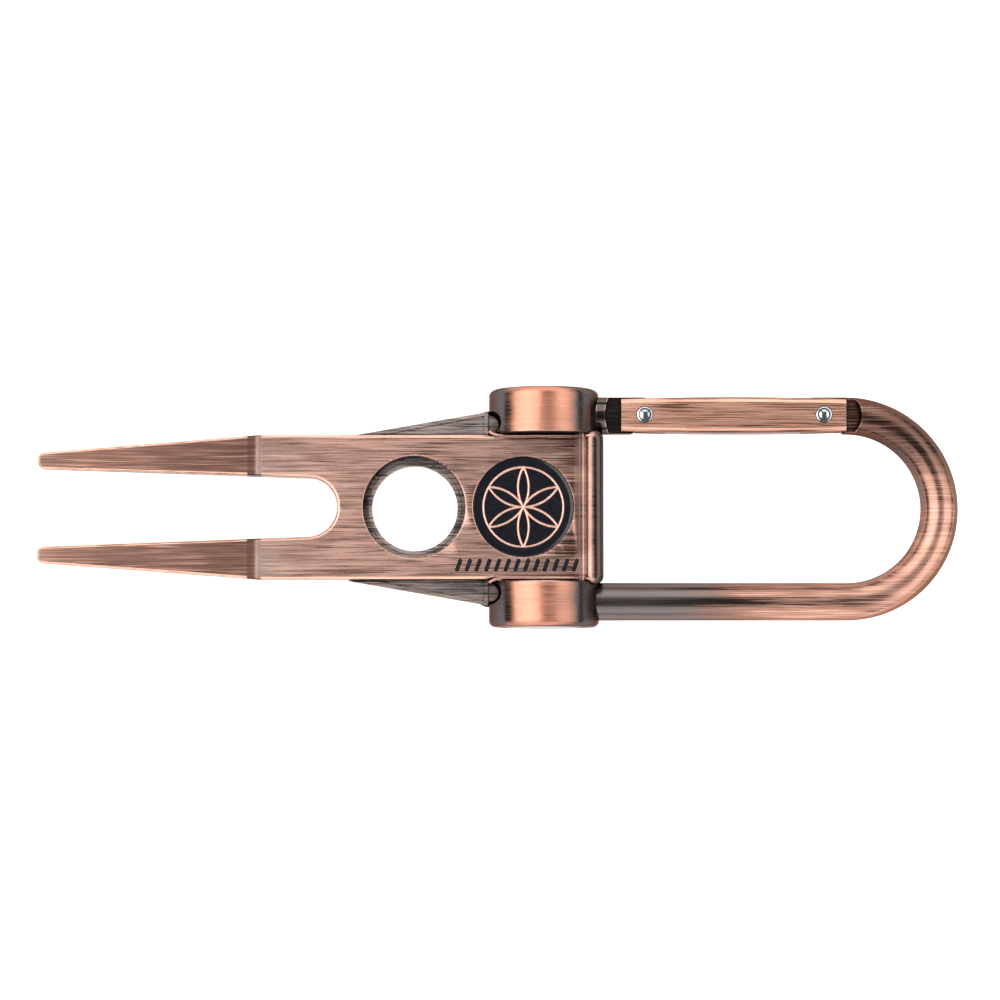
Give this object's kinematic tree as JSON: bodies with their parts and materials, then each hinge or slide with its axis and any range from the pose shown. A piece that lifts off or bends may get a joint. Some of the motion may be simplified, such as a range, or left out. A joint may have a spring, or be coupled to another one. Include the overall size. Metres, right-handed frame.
{
  "type": "divot repair tool",
  "caption": "Two-tined divot repair fork with a sprung clip hinged behind it and a carabiner loop with a spring gate",
  "frame": {"origin": "under the middle of the tool, level with the lowest point of the two ears", "axes": "+X from the tine tips to the carabiner's bend, +Y towards the gate, +Z out of the emblem side"},
  "size_m": [0.0918, 0.0238, 0.011],
  "materials": {
    "antique_copper": "brushed, antiqued",
    "bright_copper": "brushed",
    "dark_patina": "antiqued, dark",
    "black_enamel": "gloss",
    "polished_steel": "polished",
    "spring_steel": "drawn wire"
  },
  "bodies": {
    "frame": {"fork_body": "antique_copper", "emblem_badge": "bright_copper", "emblem_enamel": "black_enamel", "hinge_post": "polished_steel", "hinge_screw": "polished_steel", "hinge_washer_gate_side": "polished_steel", "hinge_washer_arm_side": "polished_steel", "carabiner_bow": "antique_copper", "gate_lug": "dark_patina"},
    "clip": {"clip_plate": "dark_patina", "clip_spring": "spring_steel"},
    "gate": {"gate_bar": "bright_copper", "gate_hinge_rivet": "polished_steel", "gate_latch_rivet": "polished_steel", "gate_spring": "spring_steel"},
    "plunger": {"gate_plunger": "polished_steel"}
  },
  "joints": [
    {"name": "clip_hinge", "type": "hinge", "parent": "frame", "child": "clip", "pos_m": [0.00451, 0, 0.0055], "axis": [0, -1, 0], "range_deg": [0, 22], "stiffness_Nm_per_rad": 0.03, "springref_deg": -20.05, "deforming": ["clip_spring"]},
    {"name": "gate_hinge", "type": "hinge", "parent": "frame", "child": "gate", "pos_m": [0.01455, 0.0093, 0.0055], "axis": [0, 0, -1], "range_deg": [0, 28], "stiffness_Nm_per_rad": 0.02, "springref_deg": -17.19},
    {"name": "plunger_slide", "type": "slide", "parent": "gate", "child": "plunger", "axis": [1, 0, 0], "range_m": [0, 0.00045], "deforming": ["gate_spring"]}
  ],
  "couplings": [
    {"joint": "plunger_slide", "follows": "gate_hinge", "m_per_rad": 0.0009}
  ]
}
